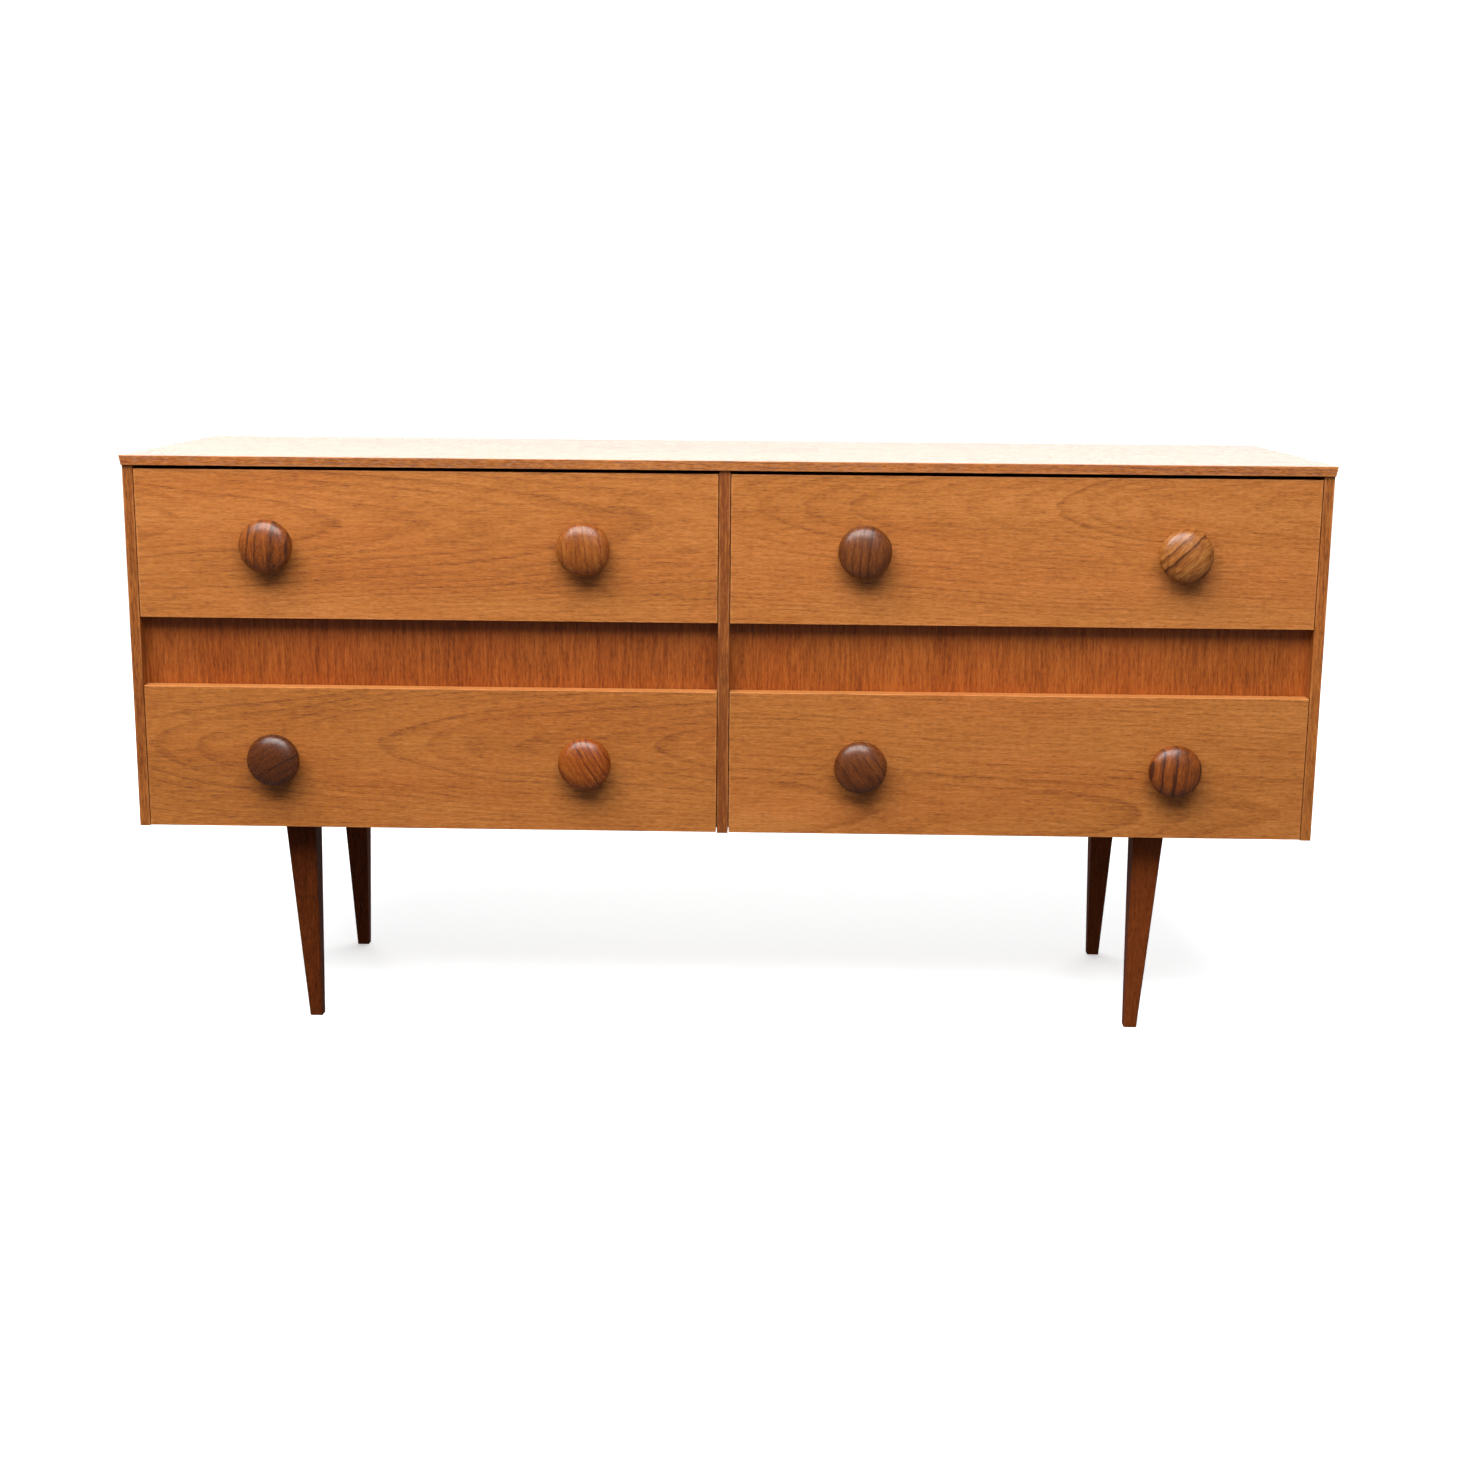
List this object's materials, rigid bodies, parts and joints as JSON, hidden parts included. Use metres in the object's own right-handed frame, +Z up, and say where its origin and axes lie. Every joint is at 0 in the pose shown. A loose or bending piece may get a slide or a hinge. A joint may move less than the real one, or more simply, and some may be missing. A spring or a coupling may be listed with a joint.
{
  "type": "dresser with drawers",
  "caption": "Long low chest of side-by-side drawers over one another, with round turned knobs, recessed panels between the fronts and tapered square legs.",
  "frame": {"origin": "on the floor, under the middle of the whole outline, knobs included", "axes": "+X to the right along the long side, -Y out of the drawer fronts towards the user, +Z up"},
  "size_m": [1.527, 0.4744, 0.761],
  "materials": {
    "top_veneer": "satin oiled veneer, grain along X",
    "side_veneer": "satin oiled veneer, upright grain",
    "partition_veneer": "satin oiled, upright grain",
    "recess_veneer": "satin oiled veneer, upright grain",
    "front_veneer": "satin oiled veneer, grain along X",
    "bottom_board": "plain board, unfinished",
    "hardboard": "smooth brown hardboard",
    "leg_wood": "satin dark stained",
    "knob_wood_dark": "satin turned",
    "knob_wood_orange": "satin turned",
    "knob_wood_striped": "satin turned, bold stripes",
    "knob_wood_red": "satin turned",
    "drawer_wood": "sealed hardwood",
    "drawer_bottom": "thin plywood",
    "runner_wood": "waxed hardwood",
    "steel": "zinc plated",
    "dowel_wood": "unfinished"
  },
  "bodies": {
    "carcase": {"top_panel": "top_veneer", "side_panel_left": "side_veneer", "side_panel_right": "side_veneer", "centre_partition": "partition_veneer", "bottom_panel": "bottom_board", "back_panel": "hardboard", "recess_panel_left": "recess_veneer", "recess_panel_right": "recess_veneer", "leg_front_left": "leg_wood", "leg_front_right": "leg_wood", "leg_back_right": "leg_wood", "leg_back_left": "leg_wood", "runner_upper_left_outer": "runner_wood", "runner_upper_left_inner": "runner_wood", "runner_upper_right_outer": "runner_wood", "runner_upper_right_inner": "runner_wood", "runner_lower_left_outer": "runner_wood", "runner_lower_left_inner": "runner_wood", "runner_lower_right_outer": "runner_wood", "runner_lower_right_inner": "runner_wood", "leg_plates": "steel", "leg_bolts": "steel", "leg_plate_screws": "steel", "runner_screws": "steel", "back_panel_pins": "steel", "case_dowels": "dowel_wood"},
    "drawer_upper_left": {"upper_left_front": "front_veneer", "upper_left_side_left": "drawer_wood", "upper_left_side_right": "drawer_wood", "upper_left_back": "drawer_wood", "upper_left_bottom": "drawer_bottom", "upper_left_knob_left": "knob_wood_dark", "upper_left_knob_right": "knob_wood_orange", "upper_left_knob_screws": "steel"},
    "drawer_upper_right": {"upper_right_front": "front_veneer", "upper_right_side_left": "drawer_wood", "upper_right_side_right": "drawer_wood", "upper_right_back": "drawer_wood", "upper_right_bottom": "drawer_bottom", "upper_right_knob_left": "knob_wood_dark", "upper_right_knob_right": "knob_wood_striped", "upper_right_knob_screws": "steel"},
    "drawer_lower_left": {"lower_left_front": "front_veneer", "lower_left_side_left": "drawer_wood", "lower_left_side_right": "drawer_wood", "lower_left_back": "drawer_wood", "lower_left_bottom": "drawer_bottom", "lower_left_knob_left": "knob_wood_dark", "lower_left_knob_right": "knob_wood_red", "lower_left_knob_screws": "steel"},
    "drawer_lower_right": {"lower_right_front": "front_veneer", "lower_right_side_left": "drawer_wood", "lower_right_side_right": "drawer_wood", "lower_right_back": "drawer_wood", "lower_right_bottom": "drawer_bottom", "lower_right_knob_left": "knob_wood_dark", "lower_right_knob_right": "knob_wood_orange", "lower_right_knob_screws": "steel"}
  },
  "joints": [
    {"name": "upper_left_slide", "type": "slide", "parent": "carcase", "child": "drawer_upper_left", "axis": [0, -1, 0], "range_m": [0, 0.3]},
    {"name": "upper_right_slide", "type": "slide", "parent": "carcase", "child": "drawer_upper_right", "axis": [0, -1, 0], "range_m": [0, 0.3]},
    {"name": "lower_left_slide", "type": "slide", "parent": "carcase", "child": "drawer_lower_left", "axis": [0, -1, 0], "range_m": [0, 0.3]},
    {"name": "lower_right_slide", "type": "slide", "parent": "carcase", "child": "drawer_lower_right", "axis": [0, -1, 0], "range_m": [0, 0.3]}
  ]
}
